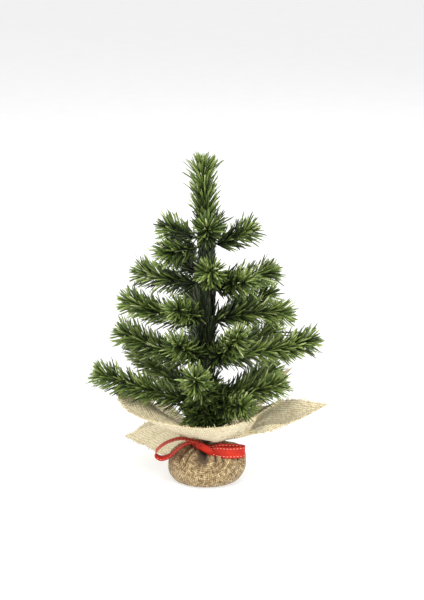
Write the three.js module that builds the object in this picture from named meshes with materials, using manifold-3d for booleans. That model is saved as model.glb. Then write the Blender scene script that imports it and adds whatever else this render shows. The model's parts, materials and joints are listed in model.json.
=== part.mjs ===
// Small artificial tabletop tree: wired needle branches in five tiers round a wrapped trunk,
// a cast cement foot in a gathered square of burlap, and a ribbon bow tied round its neck.
// Millimetres, +Z up. The origin is on the trunk's axis, at the level the sack stands on.
// The bow is at the front, towards -Y. Headings turn anticlockwise from +X, seen from above.
import * as THREE from "three";
import { mergeVertices } from "three/addons/utils/BufferGeometryUtils.js";
import Module from "manifold-3d";

// Driving dimensions
const TREE_HEIGHT = 350;
const CLOTH_THICKNESS = 1.6; // burlap, cut as a 280 mm square
const SACK_RADIUS = 39; // at its widest
const SACK_FLAT_RADIUS = 28; // of the flat underside
const SACK_SHARE = 0.55; // of the way from the cloth's middle to its edge, up to the neck
const NECK_HEIGHT = 38; // middle of the ribbon
const NECK_RADIUS = 11.6;
const RIBBON_WIDTH = 12;
const RIBBON_THICKNESS = 0.8;
const BAND_HALF_HEIGHT = 3.2; // of the ribbon round the neck, bunched up
const KNOT_SIZE = [5.5, 3.4, 5]; // half sizes
const CEMENT_RADIUS = 36;
const CEMENT_TOP = 25;
const ROD_RADIUS = 1.6;
const ROD_EMBEDDED = 5; // from the cement's underside to the rod's foot
const TRUNK_RADIUS_LOW = 9; // at the neck
const TRUNK_RADIUS_TOP = 6.2; // at the top tier
const TUFT_RADIUS = 12; // of the needles bunched round the trunk's foot
const WIRE_RADIUS = 1; // a twisted pair, as one round
const WIRE_ROOT = 4.6; // from the trunk's axis to a wire's inner end
const SLOT = { width: 3, depth: 12, height: 6.2 }; // a wire's way out of the wrapping
const NEEDLES_START = 7.5; // along the wire
const NEEDLES_BEYOND = 7; // past the wire's tip
const NEEDLE_REACH = 9.5; // radius of the space that a branch's needles fill
const LEADER_START = 264;
const FIT = 0.4; // gap between pieces that touch

// Each branch is [heading, wire length, rise at the root, rise at the tip], in degrees and mm.
// In a tier, branches leave the trunk by turns a little below and a little above its height.
const STAGGER = 3;
const TIERS = [
  {
    height: 254,
    branches: [
      [78, 40, 18, 26], [156, 41, 5, 20], [210, 44, -8, 2], [272, 38, 26, 40], [354, 44, 14, 34],
    ],
  },
  {
    height: 213,
    branches: [
      [15, 66, 2, 14], [122, 53, 12, 24], [171, 64, 2, 16], [276, 55, 18, 30], [318, 54, 8, 20],
    ],
  },
  {
    height: 172,
    branches: [
      [27, 72, 14, 24], [105, 56, 10, 20], [184, 79, 10, 28], [237, 57, 16, 30], [356, 78, 24, -8],
    ],
  },
  {
    height: 131,
    branches: [
      [34, 84, 10, 16], [96, 70, 8, 20], [172, 88, 10, 28], [240, 63, 18, 34], [300, 74, 28, 40],
      [358, 104, -1, 20],
    ],
  },
  {
    height: 86,
    branches: [
      [34, 82, 10, 22], [143, 94, 16, 26], [187, 109, 14, 23], [261, 82, 26, 36], [312, 58, 6, 14],
      [347, 76, 9, 20],
    ],
  },
];

const wasm = await Module();
wasm.setup();

const material = (color, roughness, metalness = 0) =>
  new THREE.MeshStandardMaterial({ color, roughness, metalness });
const CEMENT = material(0xb4afa6, 0.95);
const STEEL = material(0x8c9095, 0.35, 1);
const WRAP = material(0x2c3a1f, 0.8);
const NEEDLES = material(0x47742f, 0.55);
const WIRE = material(0x3b4a30, 0.5, 0.6);
const BURLAP = material(0xcbb182, 0.95);
const RIBBON = material(0xc8231c, 0.5);

const tree = new THREE.Group();

function add(name, geometry, finish) {
  const mesh = new THREE.Mesh(geometry, finish);
  mesh.name = name;
  tree.add(mesh);
}

const { degToRad: radians, lerp } = THREE.MathUtils;

// ---- closed solids and booleans

function solidOf(geometry) {
  const bare = new THREE.BufferGeometry().setAttribute("position", geometry.getAttribute("position"));
  bare.setIndex(geometry.index);
  const merged = mergeVertices(bare, 1e-4);
  return new wasm.Manifold(
    new wasm.Mesh({
      numProp: 3,
      vertProperties: merged.attributes.position.array,
      triVerts: new Uint32Array(merged.index.array),
    }),
  );
}

function geometryOf(solid) {
  const { vertProperties, triVerts } = solid.getMesh();
  return new THREE.BufferGeometry()
    .setAttribute("position", new THREE.BufferAttribute(vertProperties, 3))
    .setIndex(new THREE.BufferAttribute(triVerts, 1));
}

// A solid of revolution about Z. The profile is a list of [radius, height] that closes on itself,
// or starts and ends on the axis, with the material on its left.
function revolve(profile, sides) {
  const points = profile.map(([radius, height]) => new THREE.Vector2(radius, height));
  return new THREE.LatheGeometry(points, sides).rotateX(Math.PI / 2);
}

const tubeProfile = (inside, outside) => [
  ...outside,
  ...[...inside].reverse(),
  outside[0],
];

// ---- branches

// Where a branch's centreline runs: an arc in the vertical plane of its heading.
class BranchPath {
  constructor(height, [heading, length, rootRise, tipRise]) {
    this.length = length;
    this.rootRise = radians(rootRise);
    this.bend = radians(tipRise - rootRise) / length;
    this.out = new THREE.Vector3(Math.cos(radians(heading)), Math.sin(radians(heading)), 0);
    this.side = new THREE.Vector3(this.out.y, -this.out.x, 0);
    this.root = this.out.clone().multiplyScalar(WIRE_ROOT).setZ(height);
  }
  rise(along) {
    return this.rootRise + this.bend * along;
  }
  point(along) {
    const middle = this.rise(along / 2);
    const half = (this.bend * along) / 2;
    const chord = half ? (along * Math.sin(half)) / half : along;
    return this.root
      .clone()
      .addScaledVector(this.out, chord * Math.cos(middle))
      .add(new THREE.Vector3(0, 0, chord * Math.sin(middle)));
  }
  // Bends a geometry made along +Y on to the path, its x to the side and its z upwards.
  carry(geometry) {
    const at = geometry.getAttribute("position");
    for (let i = 0; i < at.count; i++) {
      const along = at.getY(i);
      const rise = this.rise(along);
      const up = this.out.clone().multiplyScalar(-Math.sin(rise)).setZ(Math.cos(rise));
      const p = this.point(along)
        .addScaledVector(this.side, at.getX(i))
        .addScaledVector(up, at.getZ(i));
      at.setXYZ(i, p.x, p.y, p.z);
    }
    return geometry;
  }
}

// Where the rings of a branch's wire and needles lie. They share them, so that both bend alike.
function stationsOf(path) {
  const needles = path.length + NEEDLES_BEYOND - NEEDLES_START;
  return [0, 0.14, 0.3, 0.5, 0.7, 0.86, 1].map((share) => NEEDLES_START + share * needles);
}

function wireGeometry(path) {
  const rings = [0, ...stationsOf(path).filter((along) => along < path.length), path.length];
  const points = [[0, 0], ...rings.map((along) => [WIRE_RADIUS, along]), [0, path.length]];
  return path.carry(new THREE.LatheGeometry(points.map(([r, y]) => new THREE.Vector2(r, y)), 6));
}

// The space that the needles fill: a sleeve on the wire, narrow where neighbours crowd it.
function needlesGeometry(path, neighbourGap) {
  const shares = [0.34, 0.68, 1, 1, 1, 1, 0.66];
  const stations = stationsOf(path);
  const outside = stations.map((along, i) => {
    const room = 0.92 * (along + WIRE_ROOT) * Math.sin(radians(neighbourGap / 2)) - FIT;
    return [Math.min(NEEDLE_REACH * shares[i], room), along];
  });
  const bore = stations.map((along) => [WIRE_RADIUS + FIT, along]);
  const points = tubeProfile(bore, outside).map(([r, y]) => new THREE.Vector2(r, y));
  return path.carry(new THREE.LatheGeometry(points, 8));
}

function neighbourGap(branches, index) {
  const turns = branches
    .filter((_, i) => i !== index)
    .map(([heading]) => Math.abs(((heading - branches[index][0] + 540) % 360) - 180));
  return Math.min(...turns, 90);
}

// ---- trunk

// The trunk thickens downwards, as each tier's wire tails join the bundle.
const trunkRadius = (height) =>
  THREE.MathUtils.mapLinear(height, NECK_HEIGHT, TIERS[0].height, TRUNK_RADIUS_LOW, TRUNK_RADIUS_TOP);

// The slot in the wrapping that a branch's wire leaves by, tall enough for the wire to bend.
function slotFor(path) {
  const slot = new THREE.BoxGeometry(SLOT.width, SLOT.depth, SLOT.height);
  return path.carry(slot.translate(0, SLOT.depth / 2 - 2 * FIT, FIT));
}

function trunkWrapGeometry(paths) {
  const foot = CEMENT_TOP + 1;
  const top = LEADER_START - 1;
  const tuft = [[TUFT_RADIUS, 52], [TUFT_RADIUS, 70]];
  const rings = (levels) => levels.map((level) => [trunkRadius(level), level]);
  const tiers = TIERS.map(({ height }) => height).reverse();
  const outside = [...rings([foot, NECK_HEIGHT, 46]), ...tuft, ...rings([76, ...tiers, top])];
  const bore = [[ROD_RADIUS + FIT, foot], [ROD_RADIUS + FIT, top]];
  let wrap = solidOf(revolve(tubeProfile(bore, outside), 18));
  for (const path of paths) wrap = wrap.subtract(solidOf(slotFor(path)));
  return geometryOf(wrap);
}

function leaderGeometry() {
  const outside = [
    [4, LEADER_START],
    [8, LEADER_START + 12],
    [NEEDLE_REACH, LEADER_START + 28],
    [NEEDLE_REACH, TREE_HEIGHT - 10],
    [7, TREE_HEIGHT],
  ];
  const bore = [LEADER_START, TREE_HEIGHT].map((height) => [ROD_RADIUS + FIT, height]);
  return revolve(tubeProfile(bore, outside), 12);
}

// ---- foot

function cementGeometry() {
  const bottom = CLOTH_THICKNESS + FIT;
  const socket = bottom + ROD_EMBEDDED - 1;
  const outside = [
    [27, bottom],
    [34, bottom + 5],
    [CEMENT_RADIUS, bottom + 13],
    [33, CEMENT_TOP - 4],
    [25, CEMENT_TOP],
  ];
  const bore = [CEMENT_TOP, socket].map((height) => [ROD_RADIUS + FIT, height]);
  return revolve([[0, bottom], ...outside, ...bore, [0, socket]], 32);
}

// ---- burlap

// The four cut edges of the cloth as they hang, corner to corner, anticlockwise from above.
const LEFT = [-94, 0, 99];
const RIGHT = [124, 4, 79];
const BACK_RIGHT = [89, 90, 92];
const BACK_LEFT = [-86, 92, 17];
const EDGES = [
  [
    LEFT, [-88, -16, 88], [-74, -32, 80], [-45, -46, 75], [-7, -54, 72], [28, -47, 73], [51, -28, 76],
    [45, -19, 61], [42, -14, 54], [66, -11, 56], [95, -4, 66], RIGHT,
  ],
  [RIGHT, [86, 15, 81], [55, 28, 72], [66, 56, 79], BACK_RIGHT],
  [BACK_RIGHT, [42, 80, 74], [0, 66, 52], [-30, 70, 6], [-58, 90, 4], BACK_LEFT],
  [BACK_LEFT, [-73, 80, 28], [-58, 62, 48], [-50, 40, 72], [-72, 20, 90], LEFT],
].map((points) => new THREE.CatmullRomCurve3(points.map((p) => new THREE.Vector3(...p))));
const FIRST_CORNER = 225; // the left corner's direction in the flat cloth
const SAG_HEADING = -55; // where the skirt leaves the neck lowest
const SAG_SPREAD = 60;

// How the skirt sets out from the neck, outwards in mm and upwards as a share of the way to its edge.
const SETTING_OUT = { outwards: 5, upwards: 0.12 };
const SETTING_OUT_SAGGED = { outwards: 16, upwards: -0.01 };
const DROOP_BEFORE_EDGE = 2; // of the skirt where its edge is high
const CREST_BEFORE_EDGE = 0.16; // of the way to the edge, where the edge hangs low

// From the middle of the underside to the neck, as [radius, height] of the cloth's mid-surface.
const SACK_PROFILE = [
  [0, 0], [SACK_FLAT_RADIUS, 0], [37, 6], [SACK_RADIUS, 15], [35, 24], [23, 29], [13.2, 31.5],
  [NECK_RADIUS, NECK_HEIGHT], [NECK_RADIUS + 1, NECK_HEIGHT + 8],
];
const SACK = new THREE.CatmullRomCurve3(
  SACK_PROFILE.map(([radius, height]) => new THREE.Vector3(radius, 0, height + CLOTH_THICKNESS / 2)),
);

const polar = (radius, turn, height) =>
  new THREE.Vector3(radius * Math.cos(turn), radius * Math.sin(turn), height);

// The least turn from one direction to another, in radians.
const turnFrom = (a, b) => Math.atan2(Math.sin(b - a), Math.cos(b - a));

// The point of the cloth at a share of the way from its centre to its edge, in one direction.
function clothPoint(edge, alongEdge, outwards) {
  const rim = EDGES[edge].getPointAt(alongEdge);
  const flat = radians(FIRST_CORNER + 90 * edge + 45) + Math.atan(2 * alongEdge - 1);
  const drift = turnFrom(flat, Math.atan2(rim.y, rim.x));
  const sack = SACK.getPoint(Math.min(outwards / SACK_SHARE, 1));
  const turn = flat + 0.5 * drift * THREE.MathUtils.smoothstep(sack.z, 20, 47);
  const neck = polar(sack.x, turn, sack.z);
  if (outwards <= SACK_SHARE) return neck;
  const reach = rim.distanceTo(neck);
  const sag = Math.exp(-((turnFrom(radians(SAG_HEADING), turn) / radians(SAG_SPREAD)) ** 2));
  const outwardsBy = lerp(SETTING_OUT.outwards, SETTING_OUT_SAGGED.outwards, sag);
  const upwardsBy = lerp(SETTING_OUT.upwards, SETTING_OUT_SAGGED.upwards, sag) * reach;
  const leaving = neck.clone().add(polar(outwardsBy, turn, upwardsBy));
  const lift = rim.z < neck.z + 15 ? CREST_BEFORE_EDGE * reach : -DROOP_BEFORE_EDGE;
  const arriving = rim.clone().lerp(neck, 0.4).add(new THREE.Vector3(0, 0, lift));
  const share = (outwards - SACK_SHARE) / (1 - SACK_SHARE);
  return new THREE.CubicBezierCurve3(neck, leaving, arriving, rim).getPoint(share);
}

// A closed shell round a sheet given as rings of points about a middle point.
function thickened(middle, rings, thickness) {
  const around = rings[0].length;
  const sheet = [middle, ...rings.flat()];
  const at = (ring, i) => 1 + ring * around + ((i + around) % around);
  const faces = [];
  for (let i = 0; i < around; i++) {
    faces.push([0, at(0, i), at(0, i + 1)]);
    for (let ring = 1; ring < rings.length; ring++) {
      faces.push([at(ring - 1, i), at(ring, i), at(ring, i + 1)]);
      faces.push([at(ring - 1, i), at(ring, i + 1), at(ring - 1, i + 1)]);
    }
  }
  const surface = new THREE.BufferGeometry().setFromPoints(sheet).setIndex(faces.flat());
  surface.computeVertexNormals();
  const normal = (i) => new THREE.Vector3().fromBufferAttribute(surface.getAttribute("normal"), i);
  const side = (share) => sheet.map((p, i) => p.clone().addScaledVector(normal(i), share * thickness));
  const count = sheet.length;
  const rim = rings.length - 1;
  const all = [...faces, ...faces.map(([a, b, c]) => [a + count, c + count, b + count])];
  for (let i = 0; i < around; i++) {
    const [a, b] = [at(rim, i), at(rim, i + 1)];
    all.push([a, a + count, b], [b, a + count, b + count]);
  }
  return new THREE.BufferGeometry().setFromPoints([...side(0.5), ...side(-0.5)]).setIndex(all.flat());
}

function burlapGeometry() {
  const meridiansPerEdge = [20, 8, 10, 8];
  const steps = [0.07, 0.13, 0.2, 0.27, 0.34, 0.4, 0.44, 0.49, 0.55, 0.62, 0.72, 0.82, 0.92, 1];
  const directions = meridiansPerEdge.flatMap((count, edge) =>
    Array.from({ length: count }, (_, i) => [edge, i / count]),
  );
  const rings = steps.map((outwards) =>
    directions.map(([edge, along]) => clothPoint(edge, along, outwards)),
  );
  return thickened(clothPoint(0, 0, 0), rings, CLOTH_THICKNESS);
}

// ---- ribbon

// A strip of ribbon along a curve in the XY plane, extruded by the ribbon's width.
function stripGeometry(points, width) {
  const line = new THREE.SplineCurve(points.map(([x, y]) => new THREE.Vector2(x, y)));
  const count = 18;
  const offset = (share) =>
    Array.from({ length: count + 1 }, (_, i) => {
      const tangent = line.getTangent(i / count);
      return line.getPoint(i / count).add(new THREE.Vector2(-tangent.y, tangent.x).multiplyScalar(share));
    });
  const half = RIBBON_THICKNESS / 2;
  const outline = new THREE.Shape([...offset(half), ...offset(-half).reverse()]);
  return new THREE.ExtrudeGeometry(outline, { depth: width, bevelEnabled: false });
}

const RIGHT_LOOP = [[0, -1.6], [14, -3.4], [30, -3], [36, 0], [30, 2.6], [14, 2.4], [0, 1.4]];
const LEFT_LOOP = [
  [0, 1], [-13, 7], [-30, 4], [-44, -7], [-46, -14], [-38, -16], [-26, -8], [-14, -1], [0, -2],
];

// The bow's parts start in front of the neck, a little to the right of the trunk's axis.
function ribbonGeometry() {
  const front = -(NECK_RADIUS + CLOTH_THICKNESS / 2 + FIT);
  const [inner, outer] = [1 - front, 2 - front];
  const section = [[inner, -1], [outer, -1], [outer, 1], [inner, 1], [inner, -1]];
  const band = revolve(section.map(([radius, end]) => [radius, end * BAND_HALF_HEIGHT]), 28)
    .translate(0, 0, NECK_HEIGHT);
  const knot = new THREE.SphereGeometry(1, 12, 8)
    .scale(...KNOT_SIZE)
    .translate(1, front - KNOT_SIZE[1], NECK_HEIGHT);
  const rightLoop = stripGeometry(RIGHT_LOOP, RIBBON_WIDTH)
    .translate(1, 0, -RIBBON_WIDTH / 2)
    .rotateX(radians(4))
    .rotateY(radians(3))
    .translate(1, front - 7, NECK_HEIGHT);
  const leftLoop = stripGeometry(LEFT_LOOP, RIBBON_WIDTH)
    .rotateX(radians(90 - 18))
    .rotateZ(radians(16))
    .translate(1, front - 1.6, NECK_HEIGHT + 1);
  const [whole, ...others] = [band, knot, rightLoop, leftLoop].map(solidOf);
  return geometryOf(others.reduce((bow, piece) => bow.add(piece), whole));
}

// ---- assembly

const paths = [];
TIERS.forEach(({ height, branches }, tier) =>
  branches.forEach((branch, i) => {
    const path = new BranchPath(height + (i % 2 ? STAGGER : -STAGGER), branch);
    const name = `tier${tier + 1}_branch${i + 1}`;
    add(`${name}_wire`, wireGeometry(path), WIRE);
    add(`${name}_needles`, needlesGeometry(path, neighbourGap(branches, i)), NEEDLES);
    paths.push(path);
  }),
);
const rodFoot = CLOTH_THICKNESS + FIT + ROD_EMBEDDED;
const rodLength = TREE_HEIGHT - 8 - rodFoot;
const rod = new THREE.CylinderGeometry(ROD_RADIUS, ROD_RADIUS, rodLength, 12)
  .rotateX(Math.PI / 2)
  .translate(0, 0, rodFoot + rodLength / 2);
add("trunk_rod", rod, STEEL);
add("trunk_wrap", trunkWrapGeometry(paths), WRAP);
add("leader_needles", leaderGeometry(), NEEDLES);
add("cement_base", cementGeometry(), CEMENT);
add("burlap_wrap", burlapGeometry(), BURLAP);
add("ribbon_bow", ribbonGeometry(), RIBBON);

export default tree;
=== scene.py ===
"""A small artificial tabletop tree: wired PVC needle branches, a burlap foot and a ribbon bow.

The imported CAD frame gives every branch's place and joint. This script dresses it: needles on each
wire, a woven sheet of burlap gathered round the foot, and a stitched ribbon. Lengths are in
millimetres in the constants and curves below, and MM turns them into Blender's metres.
"""
import json
import math

import bmesh
import bpy
import numpy as np
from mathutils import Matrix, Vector


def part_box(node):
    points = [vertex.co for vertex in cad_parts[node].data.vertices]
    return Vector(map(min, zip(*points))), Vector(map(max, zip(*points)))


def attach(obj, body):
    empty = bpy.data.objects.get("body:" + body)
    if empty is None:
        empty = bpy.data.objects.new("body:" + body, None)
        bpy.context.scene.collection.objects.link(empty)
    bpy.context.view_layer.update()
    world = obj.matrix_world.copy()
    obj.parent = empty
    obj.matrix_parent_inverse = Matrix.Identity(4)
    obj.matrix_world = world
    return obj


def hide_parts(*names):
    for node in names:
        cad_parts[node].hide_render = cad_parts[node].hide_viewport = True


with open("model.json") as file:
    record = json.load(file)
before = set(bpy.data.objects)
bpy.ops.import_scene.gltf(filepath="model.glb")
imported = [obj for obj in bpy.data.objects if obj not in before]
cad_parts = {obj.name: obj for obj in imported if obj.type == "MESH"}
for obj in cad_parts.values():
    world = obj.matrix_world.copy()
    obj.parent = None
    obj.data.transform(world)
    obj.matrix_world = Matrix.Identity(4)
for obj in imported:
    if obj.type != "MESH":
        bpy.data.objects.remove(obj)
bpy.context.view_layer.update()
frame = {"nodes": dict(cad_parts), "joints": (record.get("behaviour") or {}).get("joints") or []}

MM = 0.001
MERGE_WITHIN = 0.01  # millimetres
SEED = 7
UP = np.array([0, 0, 1.0])

# Camera: the view from the front, a little above the horizon, from far off
VIEW_ELEVATION = math.radians(15)
VIEW_DISTANCE = 3.0
VIEW_CENTRE = Vector((0.006, 0.0, 0.193))
VIEW_HEIGHT = 0.6156  # of the object plane that the picture shows
SENSOR = 36
AMBIENT = 0.5  # the world's light on the object
BACKDROP = 1.1  # the same world as the camera sees it
FLOOR_REACH = 6000  # millimetres to each side
FLOOR_GLOW = 0.62  # keeps the floor white where the lights don't reach it

# Needles, in millimetres
NEEDLE_LENGTH = 21
NEEDLE_WIDTH = 1.55
NEEDLE_THICKNESS = 0.35
NEEDLES_PER_MM = 5.0
NEEDLE_TILT = 48  # degrees between a needle and its wire
GOLDEN_TURN = math.radians(137.5)  # from one needle to the next, round the wire
NEEDLES_BEYOND = 10  # how far past its wire's tip a brush ends
TIP_REACH = 9  # back from a wire's tip, where its needles turn forwards
ROOT_REACH = 16  # out from a brush's start, where its needles grow from three quarters to full length
PAINTED_SHADE_REACH = 26  # how far out from the trunk a branch's needles stay darker, as painted shade
TUFT_LOWEST = 55  # about as low as a needle's tip at the trunk's foot comes, just above the burlap
TUFT_REACH = 16  # how far out such a needle's tip is
TUFT_HEIGHTS = (55, 66, 108)  # lowest, commonest and highest root
TUFT_ROOT_RADIUS = 7
TUFT_NEEDLES = 1100
SLEEVE_NEEDLES = 1000  # pressed up against the trunk
LEADER_BRUSH = {"density": 5.2, "length": 24, "tilt": 34}
LEADER_LEAN = -3.5  # how far left the leader's tip is of its foot

# Trunk, in millimetres
TRUNK_RADII = [8.8, 6.2]  # at the wrapping's foot and top
WIRE_STRAND_RADIUS = 0.52
WIRE_TWIST_PITCH = 7.0
WIRE_SIDES = 6
WIRE_RING_GAP = 2.0  # less than the distance between two rings of a CAD wire, more than across one

# Burlap, in millimetres. The corners, rim and sack profile are the CAD sheet's own.
CLOTH_SIDE = 280
CLOTH_THICKNESS = 1.1
LEAST_HEIGHT = 0.02  # above the floor
SACK_PROFILE = [  # radius and height of the sheet's middle
    (0, 0), (28, 0), (37, 6), (39, 15), (35, 24), (23, 29), (13.2, 31.5), (11.6, 38), (12.6, 46),
]
SACK_LIFT = 0.8  # of the whole profile off the floor
LEFT, RIGHT = (-94, 0, 99), (124, 4, 79)
BACK_RIGHT, BACK_LEFT = (89, 90, 92), (-86, 92, 17)
RIM = [
    [LEFT, (-88, -16, 88), (-74, -32, 80), (-45, -46, 75), (-7, -54, 72), (28, -47, 73), (51, -28, 76),
     (45, -19, 61), (42, -14, 54), (66, -11, 56), (95, -4, 66), RIGHT],
    [RIGHT, (86, 15, 81), (55, 28, 72), (66, 56, 79), BACK_RIGHT],
    [BACK_RIGHT, (42, 80, 74), (0, 66, 52), (-30, 70, 6), (-58, 90, 4), BACK_LEFT],
    [BACK_LEFT, (-73, 80, 28), (-58, 62, 48), (-50, 40, 72), (-72, 20, 90), LEFT],
]
SAG_HEADING = math.radians(-55)  # where the skirt leaves the neck lowest
SAG_SPREAD = math.radians(60)
SETTING_OUT = (5, 0.12)  # how the skirt leaves the neck: millimetres out, and a share of its reach up
SETTING_OUT_SAGGED = (18, -0.07)
LOW_EDGE = 15  # an edge less than this much above the neck hangs low
CREST_BEFORE_EDGE = 0.16  # of the skirt's reach, where its edge hangs low
DROOP_BEFORE_EDGE = 2  # millimetres, elsewhere
YARN_PITCH = 2.2
YARN_GRIP = 1.4  # how far a frayed end reaches back into the cloth
FRONT = -math.pi / 2

# The burlap's grid and folds
AROUND_EDGE = 150  # directions to each edge of the cloth
SACK_ROWS = 70
FARTHEST_SACK_ROW = 0.96  # of the way to the cut edge on the flat sheet
SKIRT_ROWS = 64
EVENED_STEPS = 15  # to each side of a direction, over which the cloth's spare width is shared out
FOLDS = 17
FOLD_SHARE = 0.225  # of a fold's wavelength, as its amplitude for each unit of spare width
SHOULDER_FOLD = 5.4  # the largest amplitude in millimetres, as are the next two
NECK_FOLD = 2.0
SKIRT_FOLD = 18.0
SINK_AT_NECK = 1.4  # how far a fold may sink inwards, where the cement and the neck are close
SINK_TOWARDS_EDGE = 12  # how much farther it may sink at the skirt's edge
SMOOTH_FLAP = -0.5  # heading on the flat sheet, in radians, of a flap with hardly any folds
PUFF_HEADING = -0.12  # where the sack's shoulder puffs out
PUFF_OUT = 2.5  # millimetres, as is the next
PUFF_UP = 4.5

# Ribbon, in millimetres
RIBBON_WIDTH = 12
RIBBON_THICKNESS = 0.5
RIBBON_MAP_LENGTH = 100  # of ribbon to one unit of its flat map
STITCH_PITCH = 3.5
STITCH_RADIUS = 0.28
STITCH_BOW = 0.26  # how far the ribbon's crosswise bow lifts a row of stitches
STITCH_ROW = 0.34  # of the ribbon's width, from its middle to a row of stitches
NECK_HEIGHT = 38
LEFT_PINCH = 7.5  # the ribbon's width at both ends of the left loop
RIGHT_PINCH = 7
KNOT_WIDTH = 8.0
BAND_RADIUS = 14.2
BAND_MAP_LENGTH = 0.89  # in units of the flat map
BAND_CREASES = [  # height and offset outwards across the band
    (-4.0, -0.3), (-3.1, 0.7), (-2.1, -0.2), (-1.1, 0.8), (0, -0.1), (1.1, 0.8), (2.1, -0.2),
    (3.1, 0.7), (4.0, -0.3),
]
BOW_Y = -20
LEFT_LOOP = [  # x and z of the loop's line, from the knot out and back
    (2, 40), (-8, 46.5), (-17, 49), (-28, 50.5), (-42, 45.5), (-51, 38), (-52.4, 32.6), (-46.5, 29),
    (-38, 31.7), (-29.4, 39.2), (-21, 45), (-12.4, 46.6), (-4.7, 42.6), (2, 37.5),
]
RIGHT_LOOP = [  # x, y and z
    (0, -20, 38.2), (8, -23.5, 37.4), (20, -26.8, 37), (32, -27, 37.2), (38.4, -24.6, 37.4),
    (39, -22, 37.6), (33, -20.6, 38.4), (20, -19.8, 38.6), (8, -19, 38.4), (0, -17.5, 38),
]
KNOT = [(-9, -17, 43.5), (-6, -21.5, 43), (-1, -24.6, 41), (4, -25, 37.4), (7, -22, 34.2), (7, -17.5, 33.4)]


# ---- mesh helpers

def mesh_object(name, points, faces, material, uvs=None, smooth=True, attributes=None):
    """An object from points in millimetres, with a uv pair a face corner and attributes a point."""
    mesh = bpy.data.meshes.new(name)
    mesh.from_pydata((np.asarray(points, float) * MM).tolist(), [], faces)
    if uvs is not None:
        layer = mesh.uv_layers.new(name="flat")
        layer.data.foreach_set("uv", np.asarray(uvs, np.float32).ravel())
    for key, values in (attributes or {}).items():
        mesh.attributes.new(key, "FLOAT", "POINT").data.foreach_set("value", np.asarray(values, np.float32))
    mesh.polygons.foreach_set("use_smooth", [smooth] * len(mesh.polygons))
    mesh.materials.append(material)
    mesh.update()
    piece = bpy.data.objects.new(name, mesh)
    bpy.context.scene.collection.objects.link(piece)
    return piece


def grid_faces(rows, columns, start=0, closed=False):
    """Quads over a grid of points, row by row; closed joins each row's last point to its first."""
    faces = []
    for r in range(rows - 1):
        for c in range(columns if closed else columns - 1):
            d = (c + 1) % columns
            a, b = start + r * columns, start + (r + 1) * columns
            faces.append((a + c, a + d, b + d, b + c))
    return faces


def tube_faces(rings, sides, start):
    """The wall and both end caps of a tube, whose rings of points begin at number start."""
    end = start + (rings - 1) * sides
    caps = [tuple(range(start, start + sides))[::-1], tuple(range(end, end + sides))]
    return grid_faces(rings, sides, start, closed=True) + caps


def ring_points(centre, radius, side, up, sides):
    """A ring of points about a centre, in the plane of side and up."""
    turns = [2 * math.pi * k / sides for k in range(sides)]
    return [centre + radius * (side * math.cos(a) + up * math.sin(a)) for a in turns]


def distances(line):
    """How far along a line each of its points lies."""
    return np.concatenate([[0], np.cumsum(np.linalg.norm(np.diff(line, axis=0), axis=1))])


def at_distance(line, along, where):
    """The values of line, whose points lie at the distances along, at other distances."""
    return np.column_stack([np.interp(where, along, line[:, k]) for k in range(line.shape[1])])


def heading_vectors(turn):
    """Level unit vectors in the directions turn, in radians."""
    return np.column_stack([np.cos(turn), np.sin(turn), np.zeros(len(turn))])


def upright(heights):
    """Vertical vectors as long as the heights."""
    return np.column_stack([np.zeros(len(heights)), np.zeros(len(heights)), heights])


def catmull(points, count):
    """count points on a Catmull-Rom curve through the given ones, evenly spread along it."""
    p = np.asarray(points, float)
    p = np.vstack([2 * p[0] - p[1], p, 2 * p[-1] - p[-2]])
    fine = []
    for i in range(1, len(p) - 2):
        t = np.linspace(0, 1, 24, endpoint=False)[:, None]
        a, b, c, d = p[i - 1], p[i], p[i + 1], p[i + 2]
        fine.append(0.5 * (2 * b + (c - a) * t + (2 * a - 5 * b + 4 * c - d) * t ** 2
                           + (3 * b - a - 3 * c + d) * t ** 3))
    fine = np.vstack([*fine, p[-2][None]])
    return resample(fine, count)


def resample(line, count):
    """The same line with count evenly spread points."""
    along = distances(line)
    return at_distance(line, along, np.linspace(0, along[-1], count))


def unit(v):
    """Vectors of length 1 in the same directions."""
    v = np.asarray(v, float)
    return v / np.maximum(np.linalg.norm(v, axis=-1, keepdims=True), 1e-9)


def frames_along(line, up=(0, 0, 1)):
    """Tangents, sides and ups along a line, kept upright."""
    tangent = unit(np.gradient(line, axis=0))
    side = unit(np.cross(tangent, np.asarray(up, float)))
    return tangent, side, np.cross(side, tangent)


def smoothstep(x, low, high):
    t = np.clip((np.asarray(x, float) - low) / (high - low), 0, 1)
    return t * t * (3 - 2 * t)


# ---- materials

class Field:
    """A value in a material's node tree that arithmetic can be written on."""

    def __init__(self, tree, socket):
        self.tree, self.socket = tree, socket

    def math(self, operation, *others):
        node = self.tree.nodes.new("ShaderNodeMath")
        node.operation = operation
        for slot, value in enumerate((self, *others)):
            if isinstance(value, Field):
                self.tree.links.new(value.socket, node.inputs[slot])
            else:
                node.inputs[slot].default_value = value
        return Field(self.tree, node.outputs[0])

    def __add__(self, other):
        return self.math("ADD", other)

    def __sub__(self, other):
        return self.math("SUBTRACT", other)

    def __mul__(self, other):
        return self.math("MULTIPLY", other)

    def step(self, low, high):
        node = self.tree.nodes.new("ShaderNodeMapRange")
        node.interpolation_type = "SMOOTHSTEP"
        node.inputs["From Min"].default_value = low
        node.inputs["From Max"].default_value = high
        self.tree.links.new(self.socket, node.inputs["Value"])
        return Field(self.tree, node.outputs["Result"])


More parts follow.
